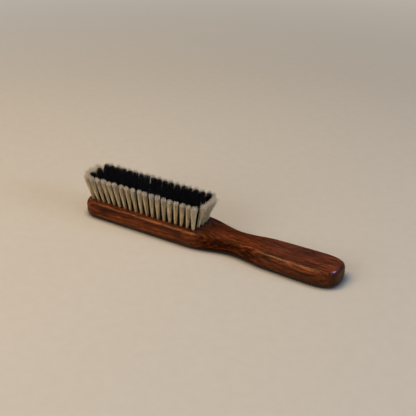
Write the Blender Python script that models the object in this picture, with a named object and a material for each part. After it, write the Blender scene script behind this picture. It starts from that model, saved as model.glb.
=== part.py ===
"""A clothes brush: a one-piece wooden stock with a flat paddle handle, and tufts of bristle set in blind holes.

The brush lies on its back with the bristles up. +X runs from the toe to the end of the handle, +Y across the
brush, +Z up. The origin is the centre of the stock's footprint, on the flat back that the brush rests on.
All sizes are in metres.
"""

import math

import bmesh
import bpy
from mathutils import Vector

# Stock: overall size
LENGTH = 0.2498  # toe to handle end
THICKNESS = 0.0150  # flat back to flat face
TOE_WIDTH = 0.0394  # the head's widest, behind the rounded toe
HEAD_WIDTH = 0.0384  # where the shoulder begins
NECK_WIDTH = 0.0230
GRIP_WIDTH = 0.0306  # where the grip begins
GRIP_END_WIDTH = 0.0328  # the grip's widest, before the rounded end

# Stock: places along the length, measured from the toe
SHOULDER_START = 0.1150
NECK = 0.1552  # the narrowest place
GRIP_START = 0.1900

# Stock: the two rounded ends are super-ellipses, and every edge is rounded over
TOE_DEPTH = 0.0175
TOE_SQUARENESS = 2.7
GRIP_END_DEPTH = 0.0268
GRIP_END_SQUARENESS = 3.4
EDGE_RADIUS = 0.0050
NECK_EDGE_RADIUS = 0.0060
END_STEPS = 9  # outline points along half of a rounded end
WAIST_STEPS = 22  # outline points from the shoulder to the grip
EDGE_STEPS = 4  # facets across a rounded edge

# Bristle field: a rim of white tufts around five staggered rows of black ones
FIELD_CENTRE = 0.0634  # measured from the toe
TUFT_PITCH = 0.0060  # along a row
ROW_PITCH = 0.0039
ROWS = 7
RIM_TUFTS = 19  # white tufts along each long side, corners included
END_TUFTS = 3  # white tufts across each end, between the corners
END_TUFT_PITCH = 0.00585
END_BOW = 0.0017  # how far the middle of an end row stands outside its corners
TUFT_HEIGHT = 0.0245  # tip above the face of the stock

# How the tufts splay: tip distance over root distance from the field's centre, along the brush
RIM_FAN = 1.10
CORNER_FAN = 1.06
END_FAN = 1.12
BLACK_FAN = 1.085
CROSS_FAN = 1.31  # the same across the brush, for every tuft
BLACK_LEAN = 0.0009  # the black tips' shift towards the neck

# One tuft in its hole
HOLE_RADIUS = 0.0014
HOLE_DEPTH = 0.0085
GAP = 0.0003  # between the tuft's foot and the wood
WHITE_TIP_RADIUS = 0.0020
BLACK_TIP_RADIUS_ALONG = 0.0035  # wide enough for the tips of a row to run into each other
BLACK_TIP_RADIUS_ACROSS = 0.0020
TIP_SHOULDER = 0.90  # share of the tuft's height where it is widest
TIP_FLAT = 0.60  # radius of the cut end over the widest radius
TUFT_SIDES = 8

PARTS = "clothes_brush"
CUTTERS = "clothes_brush_cutters"


def clear_scene():
    for obj in list(bpy.data.objects):
        bpy.data.objects.remove(obj, do_unlink=True)


def make_collection(name):
    collection = bpy.data.collections.new(name)
    bpy.context.scene.collection.children.link(collection)
    return collection


def make_material(name, colour, roughness):
    material = bpy.data.materials.new(name)
    material.use_nodes = True
    surface = material.node_tree.nodes["Principled BSDF"]
    surface.inputs["Base Color"].default_value = (*colour, 1.0)
    surface.inputs["Roughness"].default_value = roughness
    surface.inputs["Metallic"].default_value = 0.0
    return material


def object_from(bm, name, collection, material=None):
    """Turn a bmesh into an object, with its faces pointing out."""
    bmesh.ops.recalc_face_normals(bm, faces=bm.faces)
    mesh = bpy.data.meshes.new(name)
    bm.to_mesh(mesh)
    bm.free()
    mesh.shade_smooth()
    mesh.set_sharp_from_angle(angle=math.radians(40))
    obj = bpy.data.objects.new(name, mesh)
    collection.objects.link(obj)
    if material:
        mesh.materials.append(material)
    return obj


def hide_as_cutter(obj):
    obj.hide_render = True
    obj.display_type = "WIRE"


def boolean(obj, operation, other):
    modifier = obj.modifiers.new(operation.lower(), "BOOLEAN")
    modifier.operation = operation
    modifier.solver = "EXACT"
    modifier.object = other


def loft(bm, rings):
    """Join rings of equally many points into one closed body, with a flat cap at either end."""
    verts = [[bm.verts.new(point) for point in ring] for ring in rings]
    for lower, upper in zip(verts, verts[1:]):
        for i in range(len(lower)):
            j = (i + 1) % len(lower)
            bm.faces.new((lower[i], lower[j], upper[j], upper[i]))
    bm.faces.new(verts[0][::-1])
    bm.faces.new(verts[-1])


# ---------------------------------------------------------------- stock


def slope(value, start, end):
    """A straight step from 0 at start to 1 at end."""
    return min(max((value - start) / (end - start), 0.0), 1.0)


def ease(value, start, end):
    """A smooth step from 0 at start to 1 at end."""
    t = slope(value, start, end)
    return t * t * (3.0 - 2.0 * t)


def half_width(s):
    """Half the stock's width at a distance s from the toe, rounded ends left out."""
    width = TOE_WIDTH
    width += (HEAD_WIDTH - TOE_WIDTH) * slope(s, TOE_DEPTH, SHOULDER_START)
    width += (NECK_WIDTH - HEAD_WIDTH) * ease(s, SHOULDER_START, NECK)
    width += (GRIP_WIDTH - NECK_WIDTH) * ease(s, NECK, GRIP_START)
    width += (GRIP_END_WIDTH - GRIP_WIDTH) * slope(s, GRIP_START, LENGTH - GRIP_END_DEPTH)
    return width / 2


def edge_radius(s):
    """The edges are rounder at the neck, where fingers close around it."""
    swell = ease(s, SHOULDER_START, NECK) - ease(s, NECK, GRIP_START)
    return EDGE_RADIUS + (NECK_EDGE_RADIUS - EDGE_RADIUS) * swell


def rounded_end(depth, half, squareness):
    """Points of a quarter super-ellipse, as (distance in from the tip, half width), tip first."""
    points = []
    for i in range(END_STEPS + 1):
        angle = math.pi / 2 * i / END_STEPS
        inward = depth * (1.0 - math.cos(angle) ** (2.0 / squareness))
        points.append((inward, half * math.sin(angle) ** (2.0 / squareness)))
    return points


def outline():
    """The stock's plan, anticlockwise from the toe, with s measured from the toe."""
    toe = rounded_end(TOE_DEPTH, TOE_WIDTH / 2, TOE_SQUARENESS)
    tip = rounded_end(GRIP_END_DEPTH, GRIP_END_WIDTH / 2, GRIP_END_SQUARENESS)
    waist = [SHOULDER_START + (GRIP_START - SHOULDER_START) * i / WAIST_STEPS for i in range(WAIST_STEPS + 1)]
    half = toe + [(s, half_width(s)) for s in waist] + [(LENGTH - inward, w) for inward, w in reversed(tip)]
    return [(s, -w) for s, w in half] + [(s, w) for s, w in reversed(half[1:-1])]


def outward_normals(points):
    normals = []
    for i in range(len(points)):
        (s0, w0), (s1, w1) = points[i - 1], points[(i + 1) % len(points)]
        normals.append(Vector((w1 - w0, s0 - s1)).normalized())
    return normals


def stock_ring(points, normals, base, inset, rise):
    """One level of the stock. inset and rise place its points on the rounded edge, as shares of the edge's radius."""
    ring = []
    for (s, w), normal in zip(points, normals):
        r = edge_radius(s)
        ring.append((s - LENGTH / 2 - normal.x * inset * r, w - normal.y * inset * r, base + rise * r))
    return ring


def build_stock(collection, material):
    points = outline()
    normals = outward_normals(points)
    quarter = [math.pi / 2 * i / EDGE_STEPS for i in range(EDGE_STEPS + 1)]
    lower = [stock_ring(points, normals, 0.0, 1.0 - math.sin(a), 1.0 - math.cos(a)) for a in quarter]
    upper = [stock_ring(points, normals, THICKNESS, 1.0 - math.cos(a), math.sin(a) - 1.0) for a in quarter]
    bm = bmesh.new()
    loft(bm, lower + upper)
    return object_from(bm, "wooden_stock", collection, material)


# ---------------------------------------------------------------- bristle field


def splay(root, fan, lean=0.0):
    """A tuft, as the places of its root and its tip along and across the brush, from the field's centre."""
    return root, (root[0] * fan + lean, root[1] * CROSS_FAN)


def rim_row(side):
    """The white tufts along one long side: side is -1 at the front and 1 at the back."""
    y = side * ROW_PITCH * (ROWS - 1) / 2
    tufts = []
    for i in range(RIM_TUFTS):
        x = (i - (RIM_TUFTS - 1) / 2) * TUFT_PITCH
        fan = CORNER_FAN if i in (0, RIM_TUFTS - 1) else RIM_FAN
        tufts.append(splay((x, y), fan))
    return tufts


def end_row(side):
    """The white tufts across one end, between the corners: side is -1 at the toe and 1 at the neck."""
    corner = TUFT_PITCH * (RIM_TUFTS - 1) / 2
    reach = END_TUFT_PITCH * (END_TUFTS + 1) / 2
    tufts = []
    for i in range(END_TUFTS):
        y = (i - (END_TUFTS - 1) / 2) * END_TUFT_PITCH
        bow = END_BOW * (1.0 - (y / reach) ** 2)
        tufts.append(splay((side * (corner + bow), y), END_FAN))
    return tufts


def black_row(row):
    """One black row. Odd rows sit half a pitch off the rim's tufts, even rows in line with them."""
    count = RIM_TUFTS - 1 if row % 2 == 1 else RIM_TUFTS - 2
    y = (row - (ROWS - 1) / 2) * ROW_PITCH
    return [splay(((i - (count - 1) / 2) * TUFT_PITCH, y), BLACK_FAN, BLACK_LEAN) for i in range(count)]


def tuft_point(tuft, height):
    """The point on a tuft's axis at a height above the face of the stock."""
    root, tip = tuft
    rise = height / TUFT_HEIGHT
    x = root[0] + (tip[0] - root[0]) * rise
    y = root[1] + (tip[1] - root[1]) * rise
    return Vector((FIELD_CENTRE - LENGTH / 2 + x, y, THICKNESS + height))


def ring_around(centre, radius_along, radius_across):
    ring = []
    for i in range(TUFT_SIDES):
        angle = math.tau * i / TUFT_SIDES
        ring.append(centre + Vector((radius_along * math.cos(angle), radius_across * math.sin(angle), 0.0)))
    return ring


def add_tuft(bm, tuft, tip_along, tip_across):
    """A foot held in its hole, a shank that flares towards the tip, and a cut end."""
    foot = HOLE_RADIUS - GAP
    levels = (
        (GAP - HOLE_DEPTH, foot, foot),
        (0.0, foot, foot),
        (TUFT_HEIGHT * TIP_SHOULDER, tip_along, tip_across),
        (TUFT_HEIGHT, tip_along * TIP_FLAT, tip_across * TIP_FLAT),
    )
    loft(bm, [ring_around(tuft_point(tuft, height), along, across) for height, along, across in levels])


def build_white_tuft(name, tuft, collection, material):
    bm = bmesh.new()
    add_tuft(bm, tuft, WHITE_TIP_RADIUS, WHITE_TIP_RADIUS)
    return object_from(bm, name, collection, material)


def build_black_row(name, tufts, collection, cutters, material):
    """Every second tuft of the row, joined by a union to the tufts between them, whose tips they meet."""
    halves = []
    for start in range(2):
        bm = bmesh.new()
        for tuft in tufts[start::2]:
            add_tuft(bm, tuft, BLACK_TIP_RADIUS_ALONG, BLACK_TIP_RADIUS_ACROSS)
        halves.append(bm)
    row = object_from(halves[0], name, collection, material)
    between = object_from(halves[1], name + "_between", cutters, material)
    hide_as_cutter(between)
    boolean(row, "UNION", between)
    return row


def build_drills(tufts, cutters):
    """One cutter with a drill for every tuft, tilted as the tuft is, and standing clear of the face."""
    bm = bmesh.new()
    for tuft in tufts:
        levels = (-HOLE_DEPTH, 2 * GAP)
        loft(bm, [ring_around(tuft_point(tuft, height), HOLE_RADIUS, HOLE_RADIUS) for height in levels])
    drills = object_from(bm, "tuft_hole_drills", cutters)
    hide_as_cutter(drills)
    return drills


def main():
    clear_scene()
    parts = make_collection(PARTS)
    cutters = make_collection(CUTTERS)
    wood = make_material("reddish_brown_wood", (0.21, 0.065, 0.025), 0.35)
    white = make_material("white_bristle", (0.62, 0.53, 0.38), 0.60)
    black = make_material("black_bristle", (0.010, 0.010, 0.012), 0.45)

    stock = build_stock(parts, wood)
    white_rows = {
        "front": rim_row(-1),
        "back": rim_row(1),
        "toe": end_row(-1),
        "neck": end_row(1),
    }
    black_rows = [black_row(row) for row in range(1, ROWS - 1)]

    for place, tufts in white_rows.items():
        for number, tuft in enumerate(tufts, start=1):
            build_white_tuft(f"white_tuft_{place}_{number:02d}", tuft, parts, white)
    for number, tufts in enumerate(black_rows, start=1):
        build_black_row(f"black_tuft_row_{number}", tufts, parts, cutters, black)

    rows = list(white_rows.values()) + black_rows
    boolean(stock, "DIFFERENCE", build_drills([tuft for row in rows for tuft in row], cutters))


main()
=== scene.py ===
"""The looks of a clothes brush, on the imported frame: a lacquered stock, and tufts made of single bristles."""

import math

import bmesh  # noqa: E402
import bpy  # noqa: E402
import numpy as np  # noqa: E402
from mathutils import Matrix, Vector  # noqa: E402


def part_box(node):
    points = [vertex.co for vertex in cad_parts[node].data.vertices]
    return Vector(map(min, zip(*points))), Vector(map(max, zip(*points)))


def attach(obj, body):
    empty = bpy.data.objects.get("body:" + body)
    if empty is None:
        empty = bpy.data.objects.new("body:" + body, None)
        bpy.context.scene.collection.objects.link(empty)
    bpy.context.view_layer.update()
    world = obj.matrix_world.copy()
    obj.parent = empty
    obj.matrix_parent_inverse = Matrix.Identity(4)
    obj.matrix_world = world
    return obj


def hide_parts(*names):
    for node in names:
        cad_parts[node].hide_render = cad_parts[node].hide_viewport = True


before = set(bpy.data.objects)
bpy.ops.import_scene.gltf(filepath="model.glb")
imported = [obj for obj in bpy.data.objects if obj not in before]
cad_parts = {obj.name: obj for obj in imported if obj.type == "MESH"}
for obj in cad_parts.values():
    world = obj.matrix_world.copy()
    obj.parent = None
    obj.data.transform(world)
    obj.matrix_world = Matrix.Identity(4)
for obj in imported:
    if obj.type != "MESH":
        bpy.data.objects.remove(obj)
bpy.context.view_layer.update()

MM = 0.001
BODY = "root"
SEED = 7

# Places from the frame
STOCK = "wooden_stock"
STOCK_LOW, STOCK_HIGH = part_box(STOCK)
TOE = STOCK_LOW.x
LENGTH = STOCK_HIGH.x - STOCK_LOW.x
TOE_WIDTH = STOCK_HIGH.y - STOCK_LOW.y
FACE = STOCK_HIGH.z  # the flat face that the bristles stand on
TIP_HEIGHT = max(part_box(name)[1].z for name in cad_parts)
BRISTLE_LENGTH = TIP_HEIGHT - FACE

# The stock as in the CAD, with places measured from the toe, but in finer steps
HEAD_WIDTH = 38.4 * MM
NECK_WIDTH = 23.0 * MM
GRIP_WIDTH = 30.6 * MM
GRIP_END_WIDTH = 32.8 * MM
SHOULDER_START = 115.0 * MM
NECK = 155.2 * MM
GRIP_START = 190.0 * MM
TOE_DEPTH = 17.5 * MM
TOE_SQUARENESS = 2.7
GRIP_END_DEPTH = 26.8 * MM
GRIP_END_SQUARENESS = 3.4
EDGE_RADIUS = 5.0 * MM
NECK_EDGE_RADIUS = 6.0 * MM
END_STEPS = 40
WAIST_STEPS = 110
EDGE_STEPS = 12
SMOOTH_ANGLE = 35.0  # degrees

# The holes, which end a little deeper than where the bristles start
HOLE_RADIUS = 1.28 * MM
HOLE_DEPTH = 3.0 * MM
HOLE_SIDES = 20
DRILL_RISE = 0.5 * MM  # how far a drill stands above the face

# Telling one tuft of a CAD node from the next
TUFT_GAP = 1.9 * MM  # the clear space between two tufts is wider than this
LEVEL = 0.01 * MM  # vertices this close in height are at the same level

# Bristles
ROOT_RADIUS = 1.06 * MM  # of the whole bundle, where it leaves the hole
ROOT_DEPTH = 2.2 * MM  # how far below the face a bristle starts
STRAY_BEND = 3.0  # how much more a stray bristle bends than the others
SPREAD_VARIATION = 0.05
STRAND_SIDES = 3
STRAND_LEVELS = np.array([0.0, 0.2, 0.45, 0.7, 0.88, 1.0])  # shares of a bristle's length
STRAND_TAPER = np.interp(STRAND_LEVELS, [0.0, 0.7, 1.0], [1.0, 0.92, 0.5])

# Wood: the colour of its rings, and its layers of grain. stretch is the size of one cell in millimetres, and
# stops turn the noise into a grey factor.
GRAIN_TILT = 28.0  # degrees about the brush's length
GRAIN_ROUGHNESS = 0.55
WOOD_DARK = (0.098, 0.0205, 0.0055)
WOOD_MIDDLE = (0.133, 0.0295, 0.0076)
WOOD_LIGHT = (0.168, 0.0410, 0.0106)
RING_STRETCH = (70.0, 1.0, 1.0)
CLOUDS = {
    "stretch": (38.0, 7.0, 7.0),
    "offset": (2.0, 4.0, 1.0),
    "detail": 2.0,
    "stops": [(0.35, 0.62), (0.5, 1.0), (0.68, 1.30)],
}
STREAKS = {
    "stretch": (15.0, 0.85, 0.85),
    "offset": (3.0, 1.0, 7.0),
    "detail": 3.0,
    "stops": [(0.40, 0.32), (0.50, 0.95), (0.62, 1.75)],
}
PORES = {
    "stretch": (5.5, 0.42, 0.42),
    "offset": (11.0, 5.0, 2.0),
    "detail": 2.0,
    "stops": [(0.38, 0.18), (0.48, 1.10)],
}
FIBRES = {
    "stretch": (7.0, 0.16, 0.16),
    "offset": (5.0, 9.0, 3.0),
    "detail": 1.0,
    "stops": [(0.30, 0.0), (0.70, 1.0)],
}
BLOTCHES = {
    "stretch": (11.0, 3.2, 3.2),
    "offset": (7.0, 2.0, 5.0),
    "detail": 3.0,
    "stops": [(0.40, 0.28), (0.60, 0.66)],
    "distortion": 1.2,
}
GRAIN_STRENGTH = 0.9  # of the streaks and the pores
WAIST = [(0.46, 0.0), (0.54, 1.0), (0.67, 1.0), (0.80, 0.0)]  # how blotchy, by share of the length
WAIST_SIDE_SHADE = [(0.3, 1.0), (0.9, 0.25)]  # how blotchy, by how much the surface faces up; the stronger blotches on the sides are painted shade
END_GRAIN_AND_SHADE = [(0.28, 1.0), (0.72, 0.40)]  # how light, by how much the surface faces along the brush: darker end grain, partly painted shade
SATIN = [(0.3, 0.30), (1.0, 0.25)]  # how rough, from dark streaks to light ones
SHINE = [(0.47, 0.34), (0.52, 0.07), (0.70, 0.07), (0.76, 0.42)]  # how shiny, by share of the length

# Bristle tones, at these shares of the height from the face to the tips. Towards the tips they are partly
# painted
# light: painted shade makes the white tips greyer and darker, and a painted sheen makes the black tips lighter
# and bluer. Each hair and each clump varies them, in cells of these sizes in millimetres.
TONE_PLACES = (0.0, 0.55, 0.88, 1.0)
HAIR_STRETCH = (0.22, 0.22, 14.0)
CLUMP_STRETCH = (0.9, 0.9, 18.0)
CLUMP_OFFSET = (3.0, 8.0, 1.0)
WHITE_TONES_AND_TIP_SHADE = ((0.92, 0.79, 0.50), (0.91, 0.80, 0.57), (0.71, 0.65, 0.54), (0.43, 0.42, 0.415))
BLACK_TONES_AND_TIP_SHEEN = (
    (0.0010, 0.0010, 0.0010),
    (0.0015, 0.0016, 0.0018),
    (0.0022, 0.0026, 0.0034),
    (0.0044, 0.0052, 0.0068),
)

# Stage
BACKDROP = (0.50, 0.45, 0.39)
SKY_LIGHT = (0.072, 0.081, 0.090)
FLOOR_BOUNCE = (0.36, 0.26, 0.165)
FLOOR_TONES = [(0.3, (0.61, 0.60, 0.575)), (0.7, (0.63, 0.62, 0.595))]
FLOOR_STRETCH = (9.0, 9.0, 9.0)
FLOOR_FADE = [(0.45, 0.0), (1.0, 1.0)]  # how far into the backdrop's colour, by metres from the brush
FLOOR_SIZE = 8.0
FLOOR_DROP = 0.2 * MM  # keeps the floor clear of the stock's back
AIM = (0.0, 0.0, 0.02)  # the point that every light faces
CAMERA_PLACE = (338.2 * MM, -533.0 * MM, 365.7 * MM)
CAMERA_DOWN = 27.82  # degrees below the horizon
CAMERA_TURN = 32.39  # degrees from straight across the brush
CAMERA_LENS = 73.0
CAMERA_SENSOR = 36.0
CAMERA_NEAREST = 0.01


# ---------------------------------------------------------------- nodes


def new_material(name):
    material = bpy.data.materials.new(name)
    material.use_nodes = True
    tree = material.node_tree
    return material, tree, tree.nodes["Principled BSDF"]


def feed(tree, socket, value):
    """Link a socket to another node's output, or set it to a number, a vector or a three-number colour."""
    if isinstance(value, bpy.types.NodeSocket):
        tree.links.new(value, socket)
    elif socket.type == "RGBA":
        socket.default_value = (*value, 1.0)
    else:
        socket.default_value = value


def add_node(tree, kind, inputs=None, **settings):
    """Add a node. Its settings come first, because they decide which sockets it shows."""
    node = tree.nodes.new(kind)
    for name, value in settings.items():
        setattr(node, name, value)
    for name, value in (inputs or {}).items():
        feed(tree, node.inputs[name], value)
    return node


def object_coordinates(tree):
    return add_node(tree, "ShaderNodeTexCoord").outputs["Object"]


def coordinates_mm(tree, stretch, offset=(0.0, 0.0, 0.0), turn=0.0):
    """Object coordinates in millimetres, turned about the brush's length, each divided by its stretch."""
    about = {"Vector": object_coordinates(tree), "Angle": math.radians(turn)}
    turned = add_node(tree, "ShaderNodeVectorRotate", about, rotation_type="X_AXIS").outputs["Vector"]
    placed = {"Vector": turned, "Location": offset, "Scale": [1.0 / (MM * s) for s in stretch]}
    return add_node(tree, "ShaderNodeMapping", placed).outputs["Vector"]


def share_along(tree, axis, start, end):
    """How far a point is along an axis, from 0 at start to 1 at end."""
    split = add_node(tree, "ShaderNodeSeparateXYZ", {"Vector": object_coordinates(tree)})
    span = {"Value": split.outputs[axis], "From Min": start, "From Max": end}
    return add_node(tree, "ShaderNodeMapRange", span).outputs["Result"]


def noise(tree, vector, detail, roughness=0.5, distortion=0.0):
    """Noise with one cell to each unit of the vector."""
    inputs = {
        "Vector": vector,
        "Scale": 1.0,
        "Detail": detail,
        "Roughness": roughness,
        "Distortion": distortion,
    }
    return add_node(tree, "ShaderNodeTexNoise", inputs).outputs["Fac"]


def ramp(tree, factor, stops):
    """A colour ramp. stops holds (place, colour) pairs, and a colour may be one grey number."""
    node = add_node(tree, "ShaderNodeValToRGB", {"Fac": factor})
    elements = node.color_ramp.elements
    while len(elements) < len(stops):
        elements.new(0.5)
    for element, (place, colour) in zip(elements, stops):
        element.position = place
        rgb = colour if isinstance(colour, tuple) else (colour, colour, colour)
        element.color = (*rgb, 1.0)
    return node.outputs["Color"]


def mix(tree, kind, factor, a, b):
    inputs = {"Factor": factor, "A": a, "B": b}
    node = add_node(tree, "ShaderNodeMix", inputs, data_type="RGBA", blend_type=kind)
    return node.outputs["Result"]


def multiply(tree, colour, by, factor=1.0):
    return mix(tree, "MULTIPLY", factor, colour, by)


def contact_shade(tree, distance, darkest):
    """A factor that falls from white to the darkest colour where surfaces close in on each other."""
    node = add_node(tree, "ShaderNodeAmbientOcclusion", {"Distance": distance}, samples=8)
    return ramp(tree, node.outputs["AO"], [(0.25, darkest), (0.85, 1.0)])


# ---------------------------------------------------------------- materials


def grain(tree, stretch, offset, detail, stops, distortion=0.0):
    """A layer of grain: noise drawn out along the brush, as a grey factor."""
    vector = coordinates_mm(tree, stretch, offset, GRAIN_TILT)
    return ramp(tree, noise(tree, vector, detail, GRAIN_ROUGHNESS, distortion), stops)


def ring_colour(tree):
    """Growth rings, seen as broad wandering bands along the brush."""
    inputs = {
        "Vector": coordinates_mm(tree, RING_STRETCH, turn=GRAIN_TILT),
        "Scale": 0.16,
        "Distortion": 3.2,
        "Detail": 2.0,
        "Detail Scale": 1.4,
        "Phase Offset": 2.6,
    }
    rings = add_node(tree, "ShaderNodeTexWave", inputs, bands_direction="Y")
    return ramp(tree, rings.outputs["Fac"], [(0.0, WOOD_DARK), (0.5, WOOD_MIDDLE), (1.0, WOOD_LIGHT)])


def waist_figure_and_shade(tree, colour, along, upward):
    """Darken the waist with a blotchy figure, strong on its sides and faint on its top. The figure is the
    wood's own, and its extra strength on the sides is painted shade.
    """
    strength = multiply(tree, ramp(tree, along, WAIST), ramp(tree, upward, WAIST_SIDE_SHADE))
    return multiply(tree, colour, grain(tree, **BLOTCHES), strength)


def end_grain_and_shade(tree, lengthwise):
    """A factor that darkens the wood where it faces along the brush: partly darker end grain, partly painted
    shade on the ends.
    """
    facing = add_node(tree, "ShaderNodeMath", operation="ABSOLUTE")
    feed(tree, facing.inputs[0], lengthwise)
    return ramp(tree, facing.outputs["Value"], END_GRAIN_AND_SHADE)


def wood_material():
    """Reddish-brown close-grained wood under a satin lacquer that is duller at the waist."""
    material, tree, shader = new_material("cherry_wood_lacquered")
    along = share_along(tree, "X", TOE, TOE + LENGTH)
    surface = add_node(tree, "ShaderNodeNewGeometry")
    normal = add_node(tree, "ShaderNodeSeparateXYZ", {"Vector": surface.outputs["True Normal"]})

    streaks = grain(tree, **STREAKS)
    colour = multiply(tree, ring_colour(tree), grain(tree, **CLOUDS))
    colour = multiply(tree, colour, streaks, GRAIN_STRENGTH)
    colour = multiply(tree, colour, grain(tree, **PORES), GRAIN_STRENGTH)
    # the waist's figure, darker on its sides as painted shade
    colour = waist_figure_and_shade(tree, colour, along, normal.outputs["Z"])
    colour = multiply(tree, colour, contact_shade(tree, distance=8.0 * MM, darkest=0.22))
    # darker ends: the end grain, and painted shade on the end faces
    colour = multiply(tree, colour, end_grain_and_shade(tree, normal.outputs["X"]))
    feed(tree, shader.inputs["Base Color"], colour)
    feed(tree, shader.inputs["Roughness"], ramp(tree, streaks, SATIN))
    feed(tree, shader.inputs["Specular IOR Level"], ramp(tree, along, SHINE))
    relief = {"Height": grain(tree, **FIBRES), "Strength": 0.3, "Distance": 0.05 * MM}
    feed(tree, shader.inputs["Normal"], add_node(tree, "ShaderNodeBump", relief).outputs["Normal"])
    return material


def bristle_material(name, tones, roughness, variation, shine):
    """Bristle that changes in tone from root to tip, each hair and each clump a little unlike the next. Near
    the tips the tones are painted shade on white bristle and a painted sheen on black.
    """
    material, tree, shader = new_material(name)
    dark, light = 1.0 - variation, 1.0 + variation
    hairs = noise(tree, coordinates_mm(tree, HAIR_STRETCH), detail=1.0)
    clumps = noise(tree, coordinates_mm(tree, CLUMP_STRETCH, CLUMP_OFFSET), detail=1.0)
    # the tone by height, with painted shade or painted sheen at the tips
    colour = ramp(tree, share_along(tree, "Z", FACE, TIP_HEIGHT), list(zip(TONE_PLACES, tones)))
    colour = multiply(tree, colour, ramp(tree, hairs, [(0.32, dark), (0.68, light)]))
    colour = multiply(tree, colour, ramp(tree, clumps, [(0.34, dark), (0.66, light)]))
    feed(tree, shader.inputs["Base Color"], colour)
    feed(tree, shader.inputs["Roughness"], roughness)
    feed(tree, shader.inputs["Specular IOR Level"], shine)
    return material


def floor_material():
    """A pale floor that melts into the backdrop, and that sends a warmer, dimmer light up to the object."""
    material, tree, shader = new_material("pale_floor")
    seen = ramp(tree, noise(tree, coordinates_mm(tree, FLOOR_STRETCH), detail=3.0), FLOOR_TONES)
    seen = multiply(tree, seen, contact_shade(tree, distance=7.0 * MM, darkest=(0.16, 0.12, 0.09)))
    to_camera = add_node(tree, "ShaderNodeLightPath").outputs["Is Camera Ray"]
    distance = add_node(tree, "ShaderNodeVectorMath", operation="LENGTH")
    feed(tree, distance.inputs[0], object_coordinates(tree))
    far = multiply(tree, ramp(tree, distance.outputs["Value"], FLOOR_FADE), to_camera)
    colour = mix(tree, "MIX", to_camera, FLOOR_BOUNCE, seen)
    feed(tree, shader.inputs["Base Color"], mix(tree, "MIX", far, colour, (0.0, 0.0, 0.0)))
    feed(tree, shader.inputs["Roughness"], 0.85)
    feed(tree, shader.inputs["Specular IOR Level"], 0.1)
    feed(tree, shader.inputs["Emission Color"], BACKDROP)
    feed(tree, shader.inputs["Emission Strength"], far)
    return material


# ---------------------------------------------------------------- stock


def slope(value, start, end):
    """A straight step from 0 at start to 1 at end."""
    return min(max((value - start) / (end - start), 0.0), 1.0)


def ease(value, start, end):
    """The same step, levelled off at both ends."""
    t = slope(value, start, end)
    return t * t * (3.0 - 2.0 * t)


def half_width(s):
    """Half the stock's width at a distance s from the toe, between its two rounded ends."""
    width = TOE_WIDTH
    width += (HEAD_WIDTH - TOE_WIDTH) * slope(s, TOE_DEPTH, SHOULDER_START)
    width += (NECK_WIDTH - HEAD_WIDTH) * ease(s, SHOULDER_START, NECK)
    width += (GRIP_WIDTH - NECK_WIDTH) * ease(s, NECK, GRIP_START)
    width += (GRIP_END_WIDTH - GRIP_WIDTH) * slope(s, GRIP_START, LENGTH - GRIP_END_DEPTH)
    return width / 2


def edge_radius(s):
    swell = ease(s, SHOULDER_START, NECK) - ease(s, NECK, GRIP_START)
    return EDGE_RADIUS + (NECK_EDGE_RADIUS - EDGE_RADIUS) * swell


def rounded_end(depth, half, squareness):
    """Half of a super-elliptic end, from its middle outwards, as (distance inward, half width) pairs."""
    points = []
    for i in range(END_STEPS + 1):
        angle = math.pi / 2 * i / END_STEPS
        inward = depth * (1.0 - math.cos(angle) ** (2.0 / squareness))
        points.append((inward, half * math.sin(angle) ** (2.0 / squareness)))
    return points


def outline():
    """The stock's plan, all the way round, as (distance from the toe, y) pairs."""
    toe = rounded_end(TOE_DEPTH, TOE_WIDTH / 2, TOE_SQUARENESS)
    tip = rounded_end(GRIP_END_DEPTH, GRIP_END_WIDTH / 2, GRIP_END_SQUARENESS)
    start, end = TOE_DEPTH, LENGTH - GRIP_END_DEPTH
    waist = [start + (end - start) * i / WAIST_STEPS for i in range(1, WAIST_STEPS)]
    half = toe + [(s, half_width(s)) for s in waist]
    half += [(LENGTH - inward, w) for inward, w in reversed(tip)]
    return [(s, -w) for s, w in half] + [(s, w) for s, w in reversed(half[1:-1])]


def stock_rings():
    """The outline at each level from the back up to the face, drawn in where the edges are rounded."""
    points = outline()
    count = len(points)
    normals = []
    for i in range(count):
        (s0, w0), (s1, w1) = points[i - 1], points[(i + 1) % count]
        normals.append(Vector((w1 - w0, s0 - s1)).normalized())
    quarter = [math.pi / 2 * i / EDGE_STEPS for i in range(EDGE_STEPS + 1)]
    profile = [(1.0 - math.sin(a), 1.0 - math.cos(a), 0.0) for a in quarter]
    profile += [(1.0 - math.cos(a), math.sin(a) - 1.0, 1.0) for a in quarter]
    rings = []
    for inset, rise, top in profile:
        ring = []
        for (s, w), normal in zip(points, normals):
            r = edge_radius(s)
            x = TOE + s - normal.x * inset * r
            y = w - normal.y * inset * r
            ring.append((x, y, top * FACE + rise * r))
        rings.append(ring)
    return rings


def loft(bm, rings):
    """Join rings of equally many points into one closed body, with a flat cap at either end."""
    verts = [[bm.verts.new(point) for point in ring] for ring in rings]
    for lower, upper in zip(verts, verts[1:]):
        for i in range(len(lower)):
            j = (i + 1) % len(lower)
            bm.faces.new((lower[i], lower[j], upper[j], upper[i]))
    bm.faces.new(verts[0][::-1])
    bm.faces.new(verts[-1])


def mesh_object(bm, name):
    bmesh.ops.recalc_face_normals(bm, faces=bm.faces)
    mesh = bpy.data.meshes.new(name)
    bm.to_mesh(mesh)
    bm.free()
    obj = bpy.data.objects.new(name, mesh)
    bpy.context.scene.collection.objects.link(obj)
    return obj


def drill_rings(root, tip):
    """The foot and the top of one drill, which leans as its tuft does."""
    axis = (tip - root).normalized()
    angles = [math.tau * i / HOLE_SIDES for i in range(HOLE_SIDES)]
    rings = []
    for height in (-HOLE_DEPTH, DRILL_RISE):
        centre = root + axis * (height / axis.z)
        rings.append([centre + Vector((math.cos(a), math.sin(a), 0.0)) * HOLE_RADIUS for a in angles])
    return rings


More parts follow.
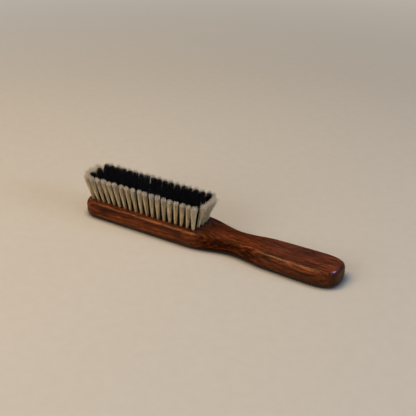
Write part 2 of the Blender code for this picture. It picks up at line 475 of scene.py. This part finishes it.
def cut_holes(stock, tufts):
    """Drill the stock for every tuft, and leave the result as its own plain mesh."""
    bm = bmesh.new()
    for root, tip in tufts:
        loft(bm, drill_rings(root, tip))
    drills = mesh_object(bm, "drills")
    cut = stock.modifiers.new("holes", "BOOLEAN")
    cut.operation = "DIFFERENCE"
    cut.solver = "EXACT"
    cut.object = drills
    bpy.context.view_layer.update()
    evaluated = stock.evaluated_get(bpy.context.evaluated_depsgraph_get())
    drilled = bpy.data.meshes.new_from_object(evaluated)
    stock.modifiers.clear()
    stock.data = drilled
    bpy.data.objects.remove(drills)


def build_stock(tufts, material):
    bm = bmesh.new()
    loft(bm, stock_rings())
    stock = mesh_object(bm, "stock_lacquered")
    cut_holes(stock, tufts)
    stock.data.shade_smooth()
    stock.data.set_sharp_from_angle(angle=math.radians(SMOOTH_ANGLE))
    stock.data.materials.clear()
    stock.data.materials.append(material)
    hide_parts(STOCK)
    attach(stock, BODY)


# ---------------------------------------------------------------- bristles


def groups_along(points):
    """Split points wherever a clear gap shows along the brush, and give the middle of each group's box."""
    points = points[np.argsort(points[:, 0])]
    breaks = np.where(np.diff(points[:, 0]) > TUFT_GAP)[0] + 1
    return [group.min(0) / 2 + group.max(0) / 2 for group in np.split(points, breaks)]


def tuft_axes(name):
    """Where each tuft of a CAD node passes the face, and the middle of its tip, from the node's vertices."""
    points = np.array([v.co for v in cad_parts[name].data.vertices])
    heights = points[:, 2]
    feet = groups_along(points[heights < heights.min() + LEVEL])
    tips = groups_along(points[heights > heights.max() - LEVEL])
    axes = []
    for foot, tip in zip(feet, tips):
        share = (FACE - foot[2]) / (tip[2] - foot[2])
        axes.append((Vector(foot + (tip - foot) * share), Vector(tip)))
    return axes


def strand_paths(rng, root, tip, look):
    """The middle lines of one tuft's bristles, as an array of shape (count, levels, 3)."""
    count = look["count"]
    radius = np.sqrt(rng.uniform(0.0, 1.0, count))
    angle = rng.uniform(0.0, math.tau, count)
    disc = np.stack([radius * np.cos(angle), radius * np.sin(angle), np.zeros(count)], 1)
    reach = look["reach"] + rng.normal(0.0, look["uneven"], count) - look["dome"] * radius**2
    bend = rng.normal(0.0, look["bend"], (count, 3)) * (1.0, 1.0, 0.0)
    bend[rng.uniform(0.0, 1.0, count) < look["stray"]] *= STRAY_BEND
    bend[:, 0] += np.abs(rng.normal(0.0, look["fray"], count)) * math.copysign(1.0, tip.x - root.x)
    axis = np.array(tip - root)
    lean = rng.normal(0.0, look["lean"], 3) * (1.0, 1.0, 0.0)
    spread = np.array([look["along"], look["across"], 0.0]) * rng.normal(1.0, SPREAD_VARIATION)
    start = -ROOT_DEPTH / BRISTLE_LENGTH
    along = (start + (reach[:, None] - start) * STRAND_LEVELS[None, :])[:, :, None]
    rise = np.clip(along, 0.0, None)
    bundle = ROOT_RADIUS + (spread - ROOT_RADIUS) * rise ** look["flare"]
    paths = np.array(root) + along * axis + bundle * disc[:, None, :]
    paths += rise**2 * (bend[:, None, :] + lean)
    return paths


def strand_vertices(paths, radius):
    """A small triangle about each point of the paths, as an array of shape (count, levels, sides, 3)."""
    count, levels, _ = paths.shape
    turn = np.random.default_rng(count).uniform(0.0, math.tau, count)
    verts = np.zeros((count, levels, STRAND_SIDES, 3), np.float32)
    for side in range(STRAND_SIDES):
        a = turn + math.tau * side / STRAND_SIDES
        offset = np.stack([np.cos(a), np.sin(a), np.zeros(count)], 1) * radius
        verts[:, :, side] = paths + offset[:, None, :] * STRAND_TAPER[None, :, None]
    return verts


def strand_faces(count, levels):
    """The faces of closed strands, their sides before their caps, as corner indices and corners per face."""
    index = np.arange(count * levels * STRAND_SIDES).reshape(count, levels, STRAND_SIDES)
    low, high = index[:, :-1], index[:, 1:]
    quads = []
    for side in range(STRAND_SIDES):
        after = (side + 1) % STRAND_SIDES
        quad = [low[..., side], low[..., after], high[..., after], high[..., side]]
        quads.append(np.stack(quad, -1).reshape(-1, 4))
    quads = np.concatenate(quads)
    caps = np.concatenate([index[:, 0, ::-1], index[:, -1, :]])
    corners = np.concatenate([quads.ravel(), caps.ravel()])
    sizes = np.concatenate([np.full(len(quads), 4), np.full(len(caps), STRAND_SIDES)])
    return corners, sizes


def strands_mesh(name, paths, radius):
    """Thin three-sided bristles that taper to the tip, closed at both ends, all in one mesh."""
    verts = strand_vertices(paths, radius)
    corners, sizes = strand_faces(len(paths), len(STRAND_LEVELS))
    starts = np.concatenate([[0], np.cumsum(sizes)[:-1]])
    mesh = bpy.data.meshes.new(name)
    mesh.vertices.add(verts.size // 3)
    mesh.vertices.foreach_set("co", verts.ravel())
    mesh.loops.add(len(corners))
    mesh.loops.foreach_set("vertex_index", corners.astype(np.int32))
    mesh.polygons.add(len(sizes))
    mesh.polygons.foreach_set("loop_start", starts.astype(np.int32))
    mesh.update(calc_edges=True)
    mesh.validate()
    mesh.shade_smooth()
    return mesh


def build_bristles(node, material, look, rng):
    """Fill every tuft of a CAD node with bristles, and return the tufts' axes."""
    axes = tuft_axes(node)
    paths = [strand_paths(rng, root, tip, look) for root, tip in axes]
    mesh = strands_mesh(node + "_bristles", np.concatenate(paths), look["radius"])
    mesh.materials.append(material)
    obj = bpy.data.objects.new(node + "_bristles", mesh)
    bpy.context.scene.collection.objects.link(obj)
    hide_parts(node)
    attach(obj, BODY)
    return axes


# How each kind of tuft is filled. radius is one bristle's, and along and across are the half-widths of the
# tuft's tip. A flare under 1 widens the tuft early. reach and uneven are the bristles' mean length and its
# spread, as shares of the CAD tuft's height, and dome is how much shorter the tuft's rim is. bend is each
# bristle's, lean is the whole tuft's, stray is the share of bristles that bend more, and fray bends them
# away from the middle of the field.
WHITE = {
    "count": 150,
    "radius": 0.095 * MM,
    "along": 2.52 * MM,
    "across": 2.15 * MM,
    "flare": 0.76,
    "reach": 0.978,
    "uneven": 0.020,
    "dome": 0.045,
    "bend": 0.34 * MM,
    "lean": 0.34 * MM,
    "stray": 0.025,
    "fray": 0.0,
}
CORNER = WHITE | {
    "count": 200,
    "along": 2.6 * MM,
    "across": 3.2 * MM,
    "lean": 0.10 * MM,
    "stray": 0.08,
    "fray": 0.9 * MM,
}
END = WHITE | {
    "count": 270,
    "along": 2.7 * MM,
    "across": 3.2 * MM,
    "flare": 0.85,
    "bend": 0.7 * MM,
    "stray": 0.12,
    "fray": 1.9 * MM,
}
BACK = WHITE | {"reach": 1.0, "dome": 0.030}
BLACK = {
    "count": 190,
    "radius": 0.10 * MM,
    "along": 2.95 * MM,
    "across": 2.55 * MM,
    "flare": 0.75,
    "reach": 1.036,
    "uneven": 0.014,
    "dome": 0.028,
    "bend": 0.34 * MM,
    "lean": 0.22 * MM,
    "stray": 0.03,
    "fray": 0.0,
}


def white_look(node):
    """The tufts at the corners and across the ends have nothing beside them, so they splay and fray more."""
    place, number = node.split("_")[-2:]
    if place in ("toe", "neck"):
        return END
    if number in ("01", "19"):
        return CORNER
    return BACK if place == "back" else WHITE


def build_all_bristles():
    white = bristle_material("white_bristle", WHITE_TONES_AND_TIP_SHADE, roughness=0.5, variation=0.22, shine=0.4)
    black = bristle_material("black_bristle", BLACK_TONES_AND_TIP_SHEEN, roughness=0.45, variation=0.45, shine=0.06)
    rng = np.random.default_rng(SEED)
    axes = []
    for node in sorted(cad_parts):
        if node.startswith("white_tuft"):
            axes += build_bristles(node, white, white_look(node), rng)
        elif node.startswith("black_tuft"):
            axes += build_bristles(node, black, BLACK, rng)
    return axes


# ---------------------------------------------------------------- stage


# A light that doesn't shine makes no highlights, and one that doesn't fill makes nothing but highlights.
LIGHTS = {
    "key": {
        "location": (-0.485, -0.19, 1.09),
        "size": (0.9, 0.9),
        "power": 2.8,
        "colour": (1.0, 0.86, 0.68),
        "shines": False,
    },
    "lamp": {
        "location": (-0.42, -0.28, 1.02),
        "size": (0.06, 0.60),
        "power": 4.2,
        "colour": (1.0, 0.58, 0.18),
    },
    "front": {
        "location": (-0.5, -1.5, 0.8),
        "size": (1.4, 1.0),
        "power": 12.5,
        "colour": (1.0, 0.95, 0.88),
        "shines": False,
    },
    "ceiling": {
        "location": (0.0, 0.0, 2.2),
        "size": (2.0, 2.0),
        "power": 9.0,
        "colour": (1.0, 0.92, 0.82),
        "shines": False,
    },
    "window": {
        "location": (0.83, 0.50, 0.96),
        "size": (0.28, 0.14),
        "power": 10.0,
        "colour": (0.50, 0.50, 1.0),
        "fills": False,
    },
    "side": {
        "location": (1.5, 0.15, 0.5),
        "size": (0.8, 0.8),
        "power": 11.0,
        "colour": (0.66, 0.82, 1.0),
        "shines": False,
    },
}


def area_light(name, location, size, power, colour, shines=True, fills=True):
    data = bpy.data.lights.new(name, "AREA")
    data.shape = "RECTANGLE"
    data.size, data.size_y = size
    data.energy = power
    data.color = colour
    obj = bpy.data.objects.new(name, data)
    obj.location = location
    obj.rotation_euler = (Vector(AIM) - Vector(location)).to_track_quat("-Z", "Y").to_euler()
    obj.visible_glossy = shines
    obj.visible_diffuse = fills
    bpy.context.scene.collection.objects.link(obj)


def build_floor():
    bpy.ops.mesh.primitive_plane_add(size=FLOOR_SIZE, location=(0.0, 0.0, -FLOOR_DROP))
    floor = bpy.context.object
    floor.name = "floor"
    floor.data.materials.append(floor_material())


def build_world():
    """A world that the camera sees as the backdrop, and that lights the object faintly and coolly."""
    world = bpy.data.worlds.new("studio")
    world.use_nodes = True
    tree = world.node_tree
    to_camera = add_node(tree, "ShaderNodeLightPath").outputs["Is Camera Ray"]
    feed(tree, tree.nodes["Background"].inputs["Color"], mix(tree, "MIX", to_camera, SKY_LIGHT, BACKDROP))
    bpy.context.scene.world = world


def build_camera():
    """The photograph's view: over the near side of the handle, towards the toe."""
    data = bpy.data.cameras.new("camera")
    data.sensor_width = CAMERA_SENSOR
    data.lens = CAMERA_LENS
    data.clip_start = CAMERA_NEAREST
    camera = bpy.data.objects.new("camera", data)
    camera.location = CAMERA_PLACE
    camera.rotation_euler = (math.radians(90.0 - CAMERA_DOWN), 0.0, math.radians(CAMERA_TURN))
    bpy.context.scene.collection.objects.link(camera)
    bpy.context.scene.camera = camera


tufts = build_all_bristles()
build_stock(tufts, wood_material())
build_floor()
for name, settings in LIGHTS.items():
    area_light(name, **settings)
build_world()
build_camera()
bpy.context.scene.view_settings.view_transform = "Standard"
